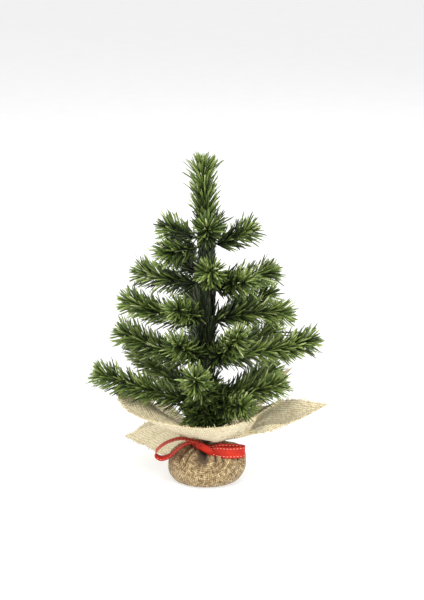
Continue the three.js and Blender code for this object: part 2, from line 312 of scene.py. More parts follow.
class Paint:
    """A Principled material and the few kinds of node that the tree's surfaces need."""

    def __init__(self, name, roughness, specular=0.5, metallic=0.0, sheen=0.0):
        self.material = bpy.data.materials.new(name)
        self.material.use_nodes = True
        self.tree = self.material.node_tree
        self.shader = self.tree.nodes["Principled BSDF"]
        self.shader.inputs["Roughness"].default_value = roughness
        self.shader.inputs["Specular IOR Level"].default_value = specular
        self.shader.inputs["Metallic"].default_value = metallic
        self.shader.inputs["Sheen Weight"].default_value = sheen

    def link(self, source, target):
        self.tree.links.new(source.socket if isinstance(source, Field) else source, target)

    def attribute(self, name):
        node = self.tree.nodes.new("ShaderNodeAttribute")
        node.attribute_name = name
        return Field(self.tree, node.outputs["Fac"])

    def place(self, kind="Object"):
        """Coordinates on the piece: Object, in metres, or the flat map."""
        if kind == "Object":
            return self.tree.nodes.new("ShaderNodeTexCoord").outputs["Object"]
        node = self.tree.nodes.new("ShaderNodeUVMap")
        node.uv_map = "flat"
        return node.outputs["UV"]

    def split(self, vector):
        node = self.tree.nodes.new("ShaderNodeSeparateXYZ")
        self.tree.links.new(vector, node.inputs[0])
        return [Field(self.tree, node.outputs[k]) for k in range(3)]

    def noise(self, vector, scale, detail=2.0, stretch=(1, 1, 1)):
        mapping = self.tree.nodes.new("ShaderNodeMapping")
        mapping.inputs["Scale"].default_value = stretch
        self.tree.links.new(vector, mapping.inputs["Vector"])
        node = self.tree.nodes.new("ShaderNodeTexNoise")
        node.inputs["Scale"].default_value = scale
        node.inputs["Detail"].default_value = detail
        self.tree.links.new(mapping.outputs[0], node.inputs["Vector"])
        return Field(self.tree, node.outputs["Fac"])

    def ramp(self, field, *stops):
        """A colour from a value: stops are (position, (r, g, b))."""
        node = self.tree.nodes.new("ShaderNodeValToRGB")
        elements = node.color_ramp.elements
        while len(elements) < len(stops):
            elements.new(0.5)
        for element, (position, colour) in zip(elements, stops):
            element.position = position
            element.color = (*colour, 1)
        self.link(field, node.inputs["Fac"])
        return node.outputs["Color"]

    def mix(self, factor, a, b):
        """A colour from a to b. The factor and the colours can be values, fields or sockets."""
        node = self.tree.nodes.new("ShaderNodeMix")
        node.data_type = "RGBA"
        for value, key in ((factor, 0), (a, 6), (b, 7)):  # with their places among the node's sockets
            if isinstance(value, Field):
                self.link(value, node.inputs[key])
            elif isinstance(value, (tuple, float, int)):
                node.inputs[key].default_value = (*value, 1) if isinstance(value, tuple) else value
            else:
                self.tree.links.new(value, node.inputs[key])
        return node.outputs[2]

    def colour(self, source):
        self.tree.links.new(source, self.shader.inputs["Base Color"])

    def roughness(self, field):
        self.link(field, self.shader.inputs["Roughness"])

    def bump(self, height, distance):
        """Relief from a field, distance millimetres high."""
        node = self.tree.nodes.new("ShaderNodeBump")
        node.inputs["Distance"].default_value = distance * MM
        node.inputs["Strength"].default_value = 1.0
        self.link(height, node.inputs["Height"])
        self.tree.links.new(node.outputs["Normal"], self.shader.inputs["Normal"])


def needle_paint():
    """Cut PVC film: each needle has its own green, paler towards the tip, and darker near the trunk as
    painted shade.
    """
    paint = Paint("needle_film", roughness=0.42, specular=0.5)
    tone = paint.attribute("tone")
    along = paint.attribute("along")
    speck = paint.noise(paint.place(), 900, detail=1.0)
    value = tone * 0.8 + along * 0.36 + speck * 0.16 - 0.2
    paint.colour(paint.ramp(
        value, (0.0, (0.004, 0.007, 0.003)), (0.28, (0.02, 0.033, 0.009)), (0.52, (0.095, 0.15, 0.028)),
        (0.77, (0.29, 0.38, 0.09)), (1.0, (0.62, 0.66, 0.36))))
    paint.roughness(speck * 0.3 + 0.28)
    return paint.material


def dark_wire_paint():
    """Green-painted wire with rubbed bright spots."""
    paint = Paint("twisted_wire", roughness=0.45, metallic=0.5)
    rub = paint.noise(paint.place(), 700)
    paint.colour(paint.ramp(rub, (0.4, (0.015, 0.028, 0.012)), (0.7, (0.06, 0.08, 0.045))))
    return paint.material


def wrap_paint():
    """The trunk's wound film: dark strips that run up and slightly round."""
    paint = Paint("trunk_film", roughness=0.7, specular=0.25)
    strips = paint.noise(paint.place(), 620, detail=3.0, stretch=(1, 1, 0.12))
    paint.colour(paint.ramp(
        strips, (0.35, (0.006, 0.008, 0.003)), (0.55, (0.022, 0.03, 0.009)), (0.72, (0.07, 0.085, 0.028))))
    paint.bump(strips, 0.8)
    return paint.material


def cement_paint():
    """Pale grey cement."""
    paint = Paint("cast_cement", roughness=0.95)
    grain = paint.noise(paint.place(), 260, detail=6.0)
    paint.colour(paint.ramp(grain, (0.3, (0.34, 0.33, 0.3)), (0.7, (0.56, 0.54, 0.5))))
    paint.bump(grain, 0.4)
    return paint.material


def steel_paint():
    """Drawn steel rod, streaked along its length."""
    paint = Paint("drawn_steel", roughness=0.35, metallic=1.0)
    drawn = paint.noise(paint.place(), 1500, stretch=(1, 1, 0.02))
    paint.colour(paint.ramp(drawn, (0.3, (0.3, 0.31, 0.32)), (0.7, (0.52, 0.53, 0.54))))
    paint.roughness(drawn * 0.3 + 0.2)
    return paint.material


def weave(x, y):
    """A plain weave over flat millimetres: (height, how much of a hole it is, warp on top)."""
    turn = math.pi / YARN_PITCH
    warp_side = (x * turn).math("SINE").math("ABSOLUTE")
    weft_side = (y * turn).math("SINE").math("ABSOLUTE")
    warp_index = (x * (1 / YARN_PITCH)).math("FLOOR")
    weft_index = (y * (1 / YARN_PITCH)).math("FLOOR")
    parity = (warp_index + weft_index).math("FLOORED_MODULO", 2.0)
    warp_rise = parity * 0.45 + 0.55
    weft_rise = parity * -0.45 + 1.0
    warp = warp_side.math("POWER", 0.6) * warp_rise
    weft = weft_side.math("POWER", 0.6) * weft_rise
    height = warp.math("MAXIMUM", weft)
    hole = warp_side.math("MAXIMUM", weft_side).step(0.78, 0.34)
    return height, hole, parity


def burlap_paint():
    """Undyed jute with uneven yarns, in copies of one colour lit and shaded by paint: palest on the skirt's
    outside, and brown on the sack, in the gaps and in the sack's creases as painted shade.
    """
    paint = Paint("jute_weave", roughness=0.92, specular=0.2, sheen=0.15)
    flat = paint.place("flat")
    u, v, _ = paint.split(flat)
    wobble = paint.noise(flat, 60, detail=1.0)
    x = u * (2 * CLOTH_SIDE) + wobble * 2.2
    y = v * CLOTH_SIDE + wobble * 1.8
    height, hole, parity = weave(x, y)
    warp_slub = paint.noise(flat, 10, detail=4.0, stretch=(50, 2.2, 1))
    weft_slub = paint.noise(flat, 10, detail=4.0, stretch=(4.4, 25, 1))
    slub = warp_slub * parity + weft_slub * (parity * -1.0 + 1.0)
    speck = paint.noise(paint.place(), 330, detail=2.0)
    value = slub * 0.6 + height * 0.3 + speck * 0.85 - 0.46
    inside = paint.attribute("inside")
    sack = paint.attribute("sack")
    # Painted light and shade: one jute colour in three copies, lightened and darkened for how light falls
    # on each part. The outside's is pale, the inside's is lighter in its mids and darker in its lows, and
    # the sack's is much darker as painted shade.
    outer = paint.ramp(
        value, (0.12, (0.48, 0.36, 0.18)), (0.4, (0.78, 0.67, 0.42)), (0.72, (0.96, 0.89, 0.66)))
    inner = paint.ramp(
        value, (0.12, (0.30, 0.20, 0.09)), (0.42, (0.82, 0.69, 0.41)), (0.75, (0.97, 0.90, 0.66)))
    sack_shaded = paint.ramp(
        value, (0.24, (0.03, 0.016, 0.006)), (0.46, (0.30, 0.20, 0.09)), (0.76, (0.78, 0.62, 0.35)))
    on_sack = sack.math("MINIMUM", 1.0)
    shade = paint.mix(on_sack, paint.mix(inside, outer, inner), sack_shaded)
    # Painted shade in the weave's holes, strongest on the sack and the inside.
    gap_shade = hole * ((on_sack + inside).math("MINIMUM", 1.0) * 0.5 + 0.35)
    shade = paint.mix(gap_shade, shade, (0.10, 0.055, 0.022))
    # Painted shade in the sack's creases, from the sack share above 1.
    paint.colour(paint.mix((sack - 1.0).math("MAXIMUM", 0.0) * 0.92, shade, (0.06, 0.035, 0.016)))
    paint.bump(height + slub * 0.8, 0.7)
    return paint.material


def yarn_paint():
    """Loose ends of the jute."""
    paint = Paint("jute_ends", roughness=0.95, specular=0.2)
    tint = paint.noise(paint.place(), 300, detail=2.0)
    paint.colour(paint.ramp(tint, (0.3, (0.5, 0.38, 0.19)), (0.7, (0.86, 0.76, 0.5))))
    return paint.material


def ribbon_paint():
    """Red satin ribbon with fine cross ribs and darker woven edges."""
    paint = Paint("red_ribbon", roughness=0.5, specular=0.25)
    flat = paint.place("flat")
    u, v, _ = paint.split(flat)
    rib = (u * 900).math("SINE")
    shade = paint.noise(paint.place(), 120, detail=3.0)
    body = paint.ramp(shade + rib * 0.06, (0.3, (0.40, 0.014, 0.006)), (0.7, (0.66, 0.03, 0.01)))
    edge = (v - 0.5).math("ABSOLUTE").step(0.455, 0.49)
    paint.colour(paint.mix(edge * 0.6, body, (0.26, 0.006, 0.006)))
    paint.bump(rib * 0.35 + shade * 0.3, 0.25)
    return paint.material


def stitch_paint():
    """Pale pink sewing thread."""
    paint = Paint("pale_thread", roughness=0.6, specular=0.3)
    twist = paint.noise(paint.place(), 2500, detail=1.0)
    paint.colour(paint.ramp(twist, (0.3, (0.72, 0.36, 0.26)), (0.7, (0.92, 0.66, 0.52))))
    return paint.material


NEEDLE_FILM = needle_paint()
TWISTED_WIRE = dark_wire_paint()
JUTE = burlap_paint()
JUTE_ENDS = yarn_paint()
RED_RIBBON = ribbon_paint()
THREAD = stitch_paint()


def dress(node, material):
    """Gives its material to a CAD solid that the scene keeps."""
    data = frame["nodes"][node].data
    data.materials.clear()
    data.materials.append(material)


dress("trunk_wrap", wrap_paint())
dress("trunk_rod", steel_paint())
dress("cement_base", cement_paint())


# ---- needles

NEEDLE_STATIONS = np.array([0, 0.35, 0.86, 1.0])
NEEDLE_SHARES = np.array([0.7, 1.0, 0.9, 0.35])  # of the needle's width at each station


def needle_blades(roots, directions, bends, rolls, lengths, widths, tones):
    """Closed flat blades as (points, faces, attributes). bends is each needle's sideways droop."""
    count, sections = len(roots), len(NEEDLE_STATIONS)
    directions = unit(directions)
    across = unit(np.cross(directions, unit(rolls)))
    normal = np.cross(across, directions)
    t = NEEDLE_STATIONS[None, :, None]
    spine = roots[:, None] + directions[:, None] * (t * lengths[:, None, None]) + bends[:, None] * t ** 2
    half = (NEEDLE_SHARES[None, :, None] * widths[:, None, None]) / 2
    thick = NEEDLE_THICKNESS / 2
    corners = [spine + across[:, None] * half * sx + normal[:, None] * thick * sy
               for sx, sy in ((-1, -1), (1, -1), (1, 1), (-1, 1))]
    points = np.stack(corners, axis=2).reshape(-1, 3)
    one = []
    for s in range(sections - 1):
        for c in range(4):
            d = (c + 1) % 4
            one.append((4 * s + c, 4 * s + d, 4 * s + 4 + d, 4 * s + 4 + c))
    last = 4 * (sections - 1)
    one += [(3, 2, 1, 0), (last, last + 1, last + 2, last + 3)]
    offsets = np.arange(count)[:, None, None] * 4 * sections
    faces = (np.array(one)[None] + offsets).reshape(-1, 4).tolist()
    along = np.broadcast_to(np.repeat(NEEDLE_STATIONS, 4)[None], (count, 4 * sections)).ravel()
    return points, faces, {"tone": np.repeat(tones, 4 * sections), "along": along}


def brush(line, rng, start, density=NEEDLES_PER_MM, length=NEEDLE_LENGTH, tilt=NEEDLE_TILT, up=(0, 0, 1)):
    """The needles on a wire that runs along line, from start millimetres out to its tip."""
    along = distances(line)
    reach = along[-1]
    count = int((reach - start) * density)
    at = np.sort(start + (reach - start) * rng.random(count) ** 0.9)
    centre = at_distance(line, along, at)
    tangent, side, _ = frames_along(line, up)
    tangent = unit(at_distance(tangent, along, at))
    side = unit(at_distance(side, along, at))
    upward = np.cross(side, tangent)
    turn = np.arange(count) * GOLDEN_TURN + rng.normal(0, 0.35, count)
    radial = side * np.cos(turn)[:, None] + upward * np.sin(turn)[:, None]
    near_tip = np.clip(1 - (reach - at) / TIP_REACH, 0, 1)
    lean = np.radians(tilt + rng.normal(0, 9, count)) * (1 - near_tip * rng.random(count) ** 0.7)
    directions = tangent * np.cos(lean)[:, None] + radial * np.sin(lean)[:, None]
    grown = np.clip(0.75 + 0.25 * (at - start) / ROOT_REACH, 0, 1)
    lengths = length * rng.uniform(0.78, 1.1, count) * grown
    blunt_end = reach + NEEDLES_BEYOND * rng.uniform(0.75, 1.15, count)
    lengths = np.minimum(lengths, (blunt_end - at) / np.cos(lean))
    bends = tangent * rng.uniform(-0.8, 2.2, count)[:, None] + rng.normal(0, 1.3, (count, 3))
    widths = NEEDLE_WIDTH * rng.uniform(0.8, 1.15, count)
    # Painted shade: needles close to the trunk are darkened for the shade inside the tree.
    painted_shade = 0.3 * np.exp(-((at - start) / PAINTED_SHADE_REACH) ** 2)
    tones = np.clip(rng.normal(0.53, 0.23, count) - painted_shade, 0, 1)
    rolls = rng.normal(size=(count, 3))
    return needle_blades(centre + radial * 0.5, directions, bends, rolls, lengths, widths, tones)


def add_foliage(name, blades, body, node=None):
    """Needles on a body, in place of a CAD node if one is named."""
    points, faces, attributes = blades
    foliage = mesh_object(name, points, faces, NEEDLE_FILM, smooth=False, attributes=attributes)
    if node:
        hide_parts(node)
    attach(foliage, body)


def wire_line(node, root):
    """The centreline of a CAD wire, in millimetres, from its root to its tip."""
    points = np.array([v.co for v in frame["nodes"][node].data.vertices], float) / MM
    away = np.linalg.norm(points - np.array(root, float) / MM, axis=1)
    order = np.argsort(away)
    points, away = points[order], away[order]
    breaks = np.where(np.diff(away) > WIRE_RING_GAP)[0] + 1
    rings = np.array([ring.mean(0) for ring in np.split(points, breaks)])
    reach = distances(rings)
    even = np.linspace(0, reach[-1], max(12, int(reach[-1])))
    return np.column_stack([np.polyval(np.polyfit(reach, rings[:, k], 3), even) for k in range(3)])


def twisted_pair(name, line):
    """Two strands wound round each other along line."""
    _, side, up = frames_along(line)
    points, faces = [], []
    for strand in (0, 1):
        turn = 2 * math.pi * distances(line) / WIRE_TWIST_PITCH + math.pi * strand
        offset = side * np.cos(turn)[:, None] + up * np.sin(turn)[:, None]
        centre = line + WIRE_STRAND_RADIUS * offset
        faces += tube_faces(len(line), WIRE_SIDES, len(points))
        for ring in range(len(line)):
            points += ring_points(centre[ring], WIRE_STRAND_RADIUS, side[ring], up[ring], WIRE_SIDES)
    return mesh_object(name, points, faces, TWISTED_WIRE)


def dress_branch(body, root, rng):
    """A twisted wire and its needles on one branch's body, whose hinge is at root."""
    line = wire_line(f"{body}_wire", root)
    wire = twisted_pair(f"{body}_twist", line)
    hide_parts(f"{body}_wire")
    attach(wire, body)
    add_foliage(f"{body}_foliage", brush(line, rng, start=5), body, f"{body}_needles")


def dress_branches():
    """Every hinged branch of the frame."""
    for index, joint in enumerate(frame["joints"]):
        dress_branch(joint["child"], joint["pos_m"], np.random.default_rng(SEED + index))


def dress_leader():
    """The upright brush at the top."""
    low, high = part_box("leader_needles")
    z = np.linspace(low.z / MM - 6, high.z / MM - 16, 80)
    lean = LEADER_LEAN * ((z - z[0]) / (z[-1] - z[0])) ** 1.4
    line = np.column_stack([lean, np.zeros(80), z])
    blades = brush(line, np.random.default_rng(SEED + 100), start=0, up=(0, 1, 0), **LEADER_BRUSH)
    add_foliage("leader_foliage", blades, "root", "leader_needles")


def dress_trunk():
    """Needles pressed up against the trunk, which cover the wrapping between the tiers."""
    low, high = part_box("trunk_wrap")
    rng = np.random.default_rng(SEED + 200)
    count = SLEEVE_NEEDLES
    z = rng.uniform(low.z / MM + 50, high.z / MM - 6, count)
    turn = rng.uniform(0, 2 * math.pi, count)
    out = heading_vectors(turn)
    radius = np.interp(z, [low.z / MM, high.z / MM], TRUNK_RADII)
    roots = out * radius[:, None] + upright(z)
    spread = 0.22 + 0.4 * smoothstep(-z, -215, -130)
    lean_out = (rng.uniform(0.1, 1, count) * spread)[:, None]
    lean_aside = rng.normal(0, 0.12, count)[:, None]
    directions = UP + out * lean_out + np.cross(out, UP) * lean_aside
    # Low tones as painted shade: the sleeve's needles are darkened because the trunk lies in the tree's
    # shade.
    blades = needle_blades(
        roots, directions, rng.normal(0, 0.5, (count, 3)), out, rng.uniform(10, 19, count),
        NEEDLE_WIDTH * rng.uniform(0.8, 1.1, count), np.clip(rng.normal(0.12, 0.1, count), 0, 1))
    add_foliage("trunk_foliage", blades, "root")


def dress_trunk_foot():
    """The bunch of needles between the lowest branches and the burlap."""
    rng = np.random.default_rng(SEED + 250)
    count = TUFT_NEEDLES
    turn = rng.uniform(0, 2 * math.pi, count)
    out = heading_vectors(turn)
    heights = rng.triangular(*TUFT_HEIGHTS, count)
    roots = out * TUFT_ROOT_RADIUS + upright(heights)
    climb = np.maximum(rng.normal(0.1, 0.42, count), (TUFT_LOWEST - heights) / TUFT_REACH)
    lean_aside = rng.normal(0, 0.3, count)[:, None]
    directions = out + UP * climb[:, None] + np.cross(out, UP) * lean_aside
    # Tones below the branches' as painted shade: the foot's needles lie in the shadow of the lowest
    # branches.
    blades = needle_blades(
        roots, directions, rng.normal(0, 1.6, (count, 3)), rng.normal(size=(count, 3)),
        rng.uniform(14, 23, count), NEEDLE_WIDTH * rng.uniform(0.8, 1.15, count),
        np.clip(rng.normal(0.36, 0.2, count), 0, 1))
    add_foliage("trunk_foot_foliage", blades, "root")


# ---- burlap

def cloth_directions():
    """For each direction round the cloth: the flat point at its cut edge, and where that hangs."""
    corner = np.array([[-1, -1], [1, -1], [1, 1], [-1, 1]]) * CLOTH_SIDE / 2
    flat, hung = [], []
    for edge, points in enumerate(RIM):
        t = np.linspace(0, 1, AROUND_EDGE, endpoint=False)[:, None]
        flat.append(corner[edge] * (1 - t) + corner[(edge + 1) % 4] * t)
        hung.append(catmull(points, AROUND_EDGE + 1)[:-1])
    return np.vstack(flat), np.vstack(hung)


def bezier(a, b, c, d, t):
    return a * (1 - t) ** 3 + 3 * b * t * (1 - t) ** 2 + 3 * c * t ** 2 * (1 - t) + d * t ** 3


def around_heading(angle, heading, width):
    """1 in one direction from the trunk, fading to 0 either side of it. Angles are in radians."""
    return np.exp(-(np.angle(np.exp(1j * (angle - heading))) / width) ** 2)


def fold_wave(angle):
    """Round ridges between sharp creases, unevenly spaced: -1 in a crease, 1 on a ridge."""
    rng = np.random.default_rng(SEED)
    wander = sum(rng.uniform(0.25, 0.5) * np.sin(k * angle + rng.uniform(0, 6.3)) for k in (1, 2, 3, 5, 7))
    uneven = 0.78 + 0.22 * np.sin(4 * angle + 0.4) * np.sin(7 * angle + 2)
    return (2 * np.abs(np.sin(FOLDS * angle / 2 + wander * 1.8)) ** 0.62) * uneven - 1


def burlap_surface():
    """The sheet's middle surface as a grid of (rows, directions, 3), with its flat coordinates."""
    edge_flat, edge_hung = cloth_directions()
    edge_reach = np.linalg.norm(edge_flat, axis=1)
    flat_angle = np.arctan2(edge_flat[:, 1], edge_flat[:, 0])
    hung_angle = np.arctan2(edge_hung[:, 1], edge_hung[:, 0])
    drift = np.angle(np.exp(1j * (hung_angle - flat_angle)))

    profile = catmull([(r, 0, z + SACK_LIFT) for r, z in SACK_PROFILE], SACK_ROWS)
    profile_length = np.linalg.norm(np.diff(profile, axis=0), axis=1).sum()
    rows, flats = [], []
    for row, (radius, _, height) in enumerate(profile):
        turn = flat_angle + 0.5 * drift * smoothstep(height, 20, 46)
        rows.append(heading_vectors(turn) * radius + UP * height)
        reach = np.minimum(row / (SACK_ROWS - 1) * profile_length, edge_reach * FARTHEST_SACK_ROW)
        flats.append(unit(edge_flat) * reach[:, None])
    neck, turn = rows[-1], flat_angle + 0.5 * drift
    reach = np.linalg.norm(edge_hung - neck, axis=1)[:, None]
    sag = around_heading(turn, SAG_HEADING, SAG_SPREAD)[:, None]
    ahead = SETTING_OUT[0] * (1 - sag) + SETTING_OUT_SAGGED[0] * sag
    rise = SETTING_OUT[1] * (1 - sag) + SETTING_OUT_SAGGED[1] * sag
    leaving = neck + heading_vectors(turn) * ahead + UP * rise * reach
    hangs_low = edge_hung[:, 2:] < neck[:, 2:] + LOW_EDGE
    lift = np.where(hangs_low, CREST_BEFORE_EDGE * reach, -DROOP_BEFORE_EDGE)
    arriving = edge_hung + (neck - edge_hung) * 0.4 + UP * lift
    neck_flat = unit(edge_flat) * profile_length
    for w in np.linspace(0, 1, SKIRT_ROWS + 1)[1:]:
        rows.append(bezier(neck, leaving, arriving, edge_hung, w))
        flats.append(neck_flat * (1 - w) + edge_flat * w)
    return np.array(rows), np.array(flats), flat_angle


def sheet_normals(surface):
    """The outward normal at each grid point."""
    along = np.gradient(surface, axis=0)
    around = np.roll(surface, -1, axis=1) - np.roll(surface, 1, axis=1)
    normal = np.cross(around, along)
    normal[0] = (0, 0, -1)
    return unit(normal)


def fold_limits(flat_angle):
    """The deepest a fold may be, and how much of it may sink inwards, by row and direction."""
    sack = np.linspace(0, 1, SACK_ROWS)[:, None]
    skirt = np.linspace(0, 1, SKIRT_ROWS + 1)[1:, None]
    front = around_heading(flat_angle, FRONT, 0.85)[None]
    along = (np.degrees(flat_angle) + 135) % 90 / 90
    mid_edge = np.sin(math.pi * along)[None] ** 1.5
    shoulder = smoothstep(sack, 0.44, 0.74) * (SHOULDER_FOLD - 1.5 * front)
    shoulder = shoulder + smoothstep(sack, 0.78, 0.94) * (NECK_FOLD - shoulder)
    hung = NECK_FOLD + (SKIRT_FOLD * mid_edge - NECK_FOLD) * smoothstep(skirt, 0.0, 0.5)
    hung = hung * (1 - 0.95 * front * smoothstep(skirt, 0.04, 0.3))
    flap = around_heading(flat_angle, SMOOTH_FLAP, 0.5)[None]
    hung = hung * (1 - 0.9 * flap * smoothstep(skirt, 0.04, 0.3))
    deepest = np.maximum(np.vstack([shoulder, hung]), 0.0)
    room = SINK_AT_NECK + SINK_TOWARDS_EDGE * np.vstack([np.zeros_like(sack), skirt])
    return deepest, room


def step_lengths(grid):
    """The distance to the next direction at each grid point, evened out round the row."""
    step = np.linalg.norm(np.roll(grid, -1, axis=1) - grid, axis=2)
    span = 2 * EVENED_STEPS + 1
    kernel = np.ones(span) / span
    wide = np.concatenate([step[:, -EVENED_STEPS:], step, step[:, :EVENED_STEPS]], axis=1)
    return np.array([np.convolve(row, kernel, mode="valid") for row in wide])


def fold_depths(surface, flat, flat_angle):
    """Folds that take up the cloth's spare width: each row keeps its flat length, where there's room."""
    hung, cut = step_lengths(surface), step_lengths(flat)
    spare = np.sqrt(np.maximum((cut / np.maximum(hung, 1e-6)) ** 2 - 1, 0))
    wavelength = hung * surface.shape[1] / FOLDS
    deepest, room = fold_limits(flat_angle)
    depth = np.minimum(FOLD_SHARE * spare * wavelength, deepest)
    return depth * (fold_wave(flat_angle)[None] + 1) - np.minimum(depth, room)


def burlap_grid():
    """The burlap's middle surface with its puff and folds, with its flat coordinates."""
    surface, flat, flat_angle = burlap_surface()
    share = np.concatenate([np.linspace(0, 1, SACK_ROWS), np.full(SKIRT_ROWS, 9.0)])[:, None]
    puff = np.exp(-((share - 0.6) / 0.17) ** 2) * around_heading(flat_angle, PUFF_HEADING, 0.8)[None]
    outward = unit(surface * (1, 1, 0))
    surface = surface + puff[..., None] * (outward * PUFF_OUT + UP * PUFF_UP)
    surface = surface + sheet_normals(surface) * fold_depths(surface, flat, flat_angle)[..., None]
    surface[..., 2] = np.maximum(surface[..., 2], CLOTH_THICKNESS / 2)
    return surface, flat, flat_angle


def sack_share_and_crease_shade(flat_angle):
    """1 on the sack, 0 on the skirt, and more than 1 in the sack's creases, where the excess darkens the
    cloth as painted shade.
    """
    sack = np.linspace(0, 1, SACK_ROWS)[:, None]
    skirt = np.linspace(0, 1, SKIRT_ROWS + 1)[1:, None]
    crease_shade = smoothstep(-fold_wave(flat_angle), -0.4, 0.6)[None] * smoothstep(sack, 0.5, 0.72)
    return np.vstack([1 + crease_shade, np.repeat(1 - smoothstep(skirt, 0.0, 0.22), len(flat_angle), axis=1)])


def burlap_shell(surface, flat):
    """The sheet as a closed shell. Its flat map has the outside on the left, the inside on the right."""
    rows, around, _ = surface.shape
    normal = sheet_normals(surface)
    layers = [surface + normal * CLOTH_THICKNESS / 2 * side for side in (1, -1)]
    for layer in layers:
        layer[..., 2] = np.maximum(layer[..., 2], LEAST_HEIGHT)
    points = np.vstack([layer.reshape(-1, 3) for layer in layers])
    size = rows * around
    outside = [f[::-1] for f in grid_faces(rows, around, 0, closed=True)]
    inside = grid_faces(rows, around, size, closed=True)
    edge = (rows - 1) * around
    rim = [(edge + c, edge + (c + 1) % around, size + edge + (c + 1) % around, size + edge + c)
           for c in range(around)]
    share = flat.reshape(-1, 2) / CLOTH_SIDE + 0.5
    left = share * (0.5, 1)
    maps = np.vstack([left, left + (0.5, 0)])
    faces = outside + inside + rim
    uvs = np.concatenate([maps[np.array(outside + inside).ravel()],
                          left[np.array([[a, b, b, a] for a, b, _, _ in rim]).ravel()]])
    return points, faces, uvs, np.repeat([0.0, 1.0], size)


def merge_close(piece, among):
    """Joins the points that lie on each other among those numbered, and turns all faces outwards."""
    work = bmesh.new()
    work.from_mesh(piece.data)
    work.verts.ensure_lookup_table()
    bmesh.ops.remove_doubles(work, verts=[work.verts[i] for i in among], dist=MERGE_WITHIN * MM)
    bmesh.ops.recalc_face_normals(work, faces=work.faces)
    work.to_mesh(piece.data)
    work.free()


def yarn_ends(surface, flat):
    """The cut edge's frayed yarns, which lean a little upwards and curl."""
    rng = np.random.default_rng(SEED + 300)
    rim, inner = surface[-1], surface[-4]
    outward = unit(rim - inner)
    sideways = unit(np.roll(rim, -1, axis=0) - np.roll(rim, 1, axis=0))
    cut = distances(flat[-1])
    places = np.searchsorted(cut, np.arange(0, cut[-1], YARN_PITCH * 0.5))
    points, faces, sides, rings = [], [], 5, 5
    for i in places:
        lean = sideways[i] * rng.normal(0, 0.4) + rng.normal(0, 0.15, 3) + UP * rng.uniform(0, 0.7)
        direction = unit(outward[i] + lean)
        length, radius = rng.uniform(2.8, 6.2), rng.uniform(0.4, 0.75)
        curl = rng.normal(0, 0.9, 3)
        across = unit(np.cross(direction, (0.3, 0.2, 1)))
        upward = np.cross(across, direction)
        faces += tube_faces(rings, sides, len(points))
        for t in np.linspace(0, 1, rings):
            centre = rim[i] - direction * YARN_GRIP + direction * length * t + curl * t * t
            centre[2] = max(centre[2], radius)
            points += ring_points(centre, radius * (1 - 0.75 * t), across, upward, sides)
    return mesh_object("burlap_fringe", points, faces, JUTE_ENDS)


def dress_burlap():
    """The gathered square of jute and its frayed edge."""
    surface, flat, flat_angle = burlap_grid()
    points, faces, uvs, inside = burlap_shell(surface, flat)
    sack = np.tile(sack_share_and_crease_shade(flat_angle).ravel(), 2)
    shades = {"inside": inside, "sack": sack}
    cloth = mesh_object("burlap_sheet", points, faces, JUTE, uvs=uvs, attributes=shades)
    around = surface.shape[1]
    outside_points = surface.shape[0] * around
    merge_close(cloth, [*range(around), *range(outside_points, outside_points + around)])
    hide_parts("burlap_wrap")
    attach(cloth, "root")
    fringe = yarn_ends(surface, flat)
    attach(fringe, "root")


# ---- ribbon

def ribbon_strip(name, line, across, widths, cup=0.5):
    """A strip of ribbon along line, its width along across at each point, bowed by cup millimetres."""
    columns = 9
    tangent = unit(np.gradient(line, axis=0))
    across = unit(across - (across * tangent).sum(1, keepdims=True) * tangent)
    normal = np.cross(tangent, across)
    v = np.linspace(-0.5, 0.5, columns)
    middle = (line[:, None] + across[:, None] * (v[None, :, None] * widths[:, None, None])
              + normal[:, None] * (cup * (0.25 - v ** 2) * 4)[None, :, None])
    faces_up = middle + normal[:, None] * RIBBON_THICKNESS / 2
    faces_down = middle - normal[:, None] * RIBBON_THICKNESS / 2
    ring = np.concatenate([faces_up, faces_down[:, ::-1]], axis=1)
    rows, around = ring.shape[:2]
    faces = grid_faces(rows, around, closed=True)
    last = (rows - 1) * around
    for c in range(columns - 1):
        faces.append((c, around - 1 - c, around - 2 - c, c + 1)[::-1])
        faces.append((last + c, last + around - 1 - c, last + around - 2 - c, last + c + 1))
    along = distances(line) / RIBBON_MAP_LENGTH
    width_map = np.concatenate([v, v[::-1]]) + 0.5
    maps = np.stack(np.broadcast_arrays(along[:, None], width_map[None]), axis=2).reshape(-1, 2)
    piece = mesh_object(name, ring.reshape(-1, 3), faces, RED_RIBBON, uvs=maps[np.array(faces).ravel()])
    merge_close(piece, range(len(piece.data.vertices)))
    return piece, line, across, normal, widths


def stitches(name, strip, faces):
    """Raised running stitches in two rows, on the faces asked for."""
    _, line, across, normal, widths = strip
    along = distances(line)
    points, quads = [], []
    rings, sides = 5, 6

    def at(values, s):
        return np.array([np.interp(s, along, values[:, k]) for k in range(3)])

    for face in faces:
        for row in (-1, 1):
            for middle in np.arange(STITCH_PITCH * 0.6, along[-1] - STITCH_PITCH * 0.4, STITCH_PITCH):
                quads += tube_faces(rings, sides, len(points))
                for t in np.linspace(-0.5, 0.5, rings):
                    s = middle + t * STITCH_PITCH * 0.6
                    side, up = unit(at(across, s)), unit(at(normal, s))
                    width = np.interp(s, along, widths)
                    lift = face * (RIBBON_THICKNESS / 2 + 0.06 * math.cos(math.pi * t)) + STITCH_BOW
                    centre = at(line, s) + side * row * width * STITCH_ROW + up * lift
                    radius = STITCH_RADIUS * (1 - 0.75 * (2 * abs(t)) ** 3)
                    points += ring_points(centre, radius, side, up * face * 0.45, sides)
    return mesh_object(name, points, quads, THREAD)


